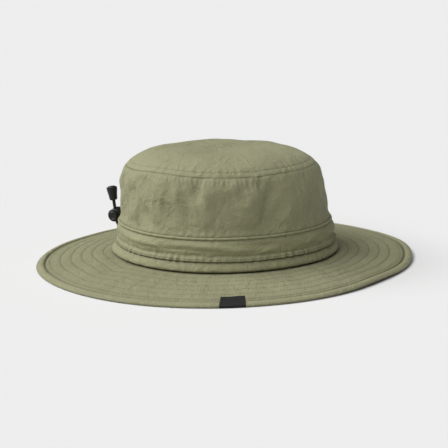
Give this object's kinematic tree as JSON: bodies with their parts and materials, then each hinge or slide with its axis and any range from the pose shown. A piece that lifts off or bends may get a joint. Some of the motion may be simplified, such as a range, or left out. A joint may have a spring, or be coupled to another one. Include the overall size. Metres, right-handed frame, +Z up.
{
  "type": "wide brim sun hat",
  "caption": "Soft sun hat with a domed crown, a drooping wide brim, an inner sweatband and a drawcord that a sliding spring lock tightens at the back.",
  "frame": {"origin": "middle of the brim's oval, on the ground that the brim's edge stands on", "axes": "+X to the front of the hat, +Y to the wearer's left, +Z up out of the crown"},
  "size_m": [0.364, 0.331, 0.1094],
  "materials": {
    "shell_cloth": "matt olive ripstop nylon",
    "under_cloth": "matt olive nylon",
    "seam_tape": "olive woven tape",
    "sweatband_cloth": "soft dark knitted cloth",
    "foam": "thin closed foam",
    "care_label": "white satin tape, blank",
    "woven_label": "black woven label, blank",
    "cord": "black braided cord",
    "eyelet": "black painted metal",
    "toggle_plastic": "black moulded plastic",
    "button_plastic": "black moulded plastic",
    "spring_steel": "bright spring wire"
  },
  "bodies": {
    "hat": {"crown_tip": "shell_cloth", "crown_front": "shell_cloth", "crown_rear": "shell_cloth", "tip_seam_tape": "seam_tape", "side_seam_tape_right": "seam_tape", "side_seam_tape_left": "seam_tape", "cord_channel": "shell_cloth", "base_strip": "shell_cloth", "sweatband_face": "sweatband_cloth", "sweatband_foam": "foam", "sweatband_back": "sweatband_cloth", "care_label": "care_label", "brim_top": "shell_cloth", "brim_core": "foam", "brim_under": "under_cloth", "brim_label": "woven_label", "drawcord": "cord", "cord_tail_left": "cord", "cord_tail_right": "cord", "cord_knot": "cord", "eyelet_left": "eyelet", "eyelet_right": "eyelet", "cord_end_shell": "toggle_plastic", "cord_end_cap": "toggle_plastic"},
    "lock": {"lock_barrel": "toggle_plastic", "lock_spring": "spring_steel"},
    "button": {"lock_plunger": "button_plastic"}
  },
  "joints": [
    {"name": "lock_slide", "type": "slide", "parent": "hat", "child": "lock", "axis": [-0.1045, 0, 0.9945], "range_m": [0, 0.008]},
    {"name": "button_press", "type": "slide", "parent": "lock", "child": "button", "axis": [0, 1, 0], "range_m": [0, 0.0022], "stiffness_N_per_m": 1800, "deforming": ["lock_spring"]}
  ]
}
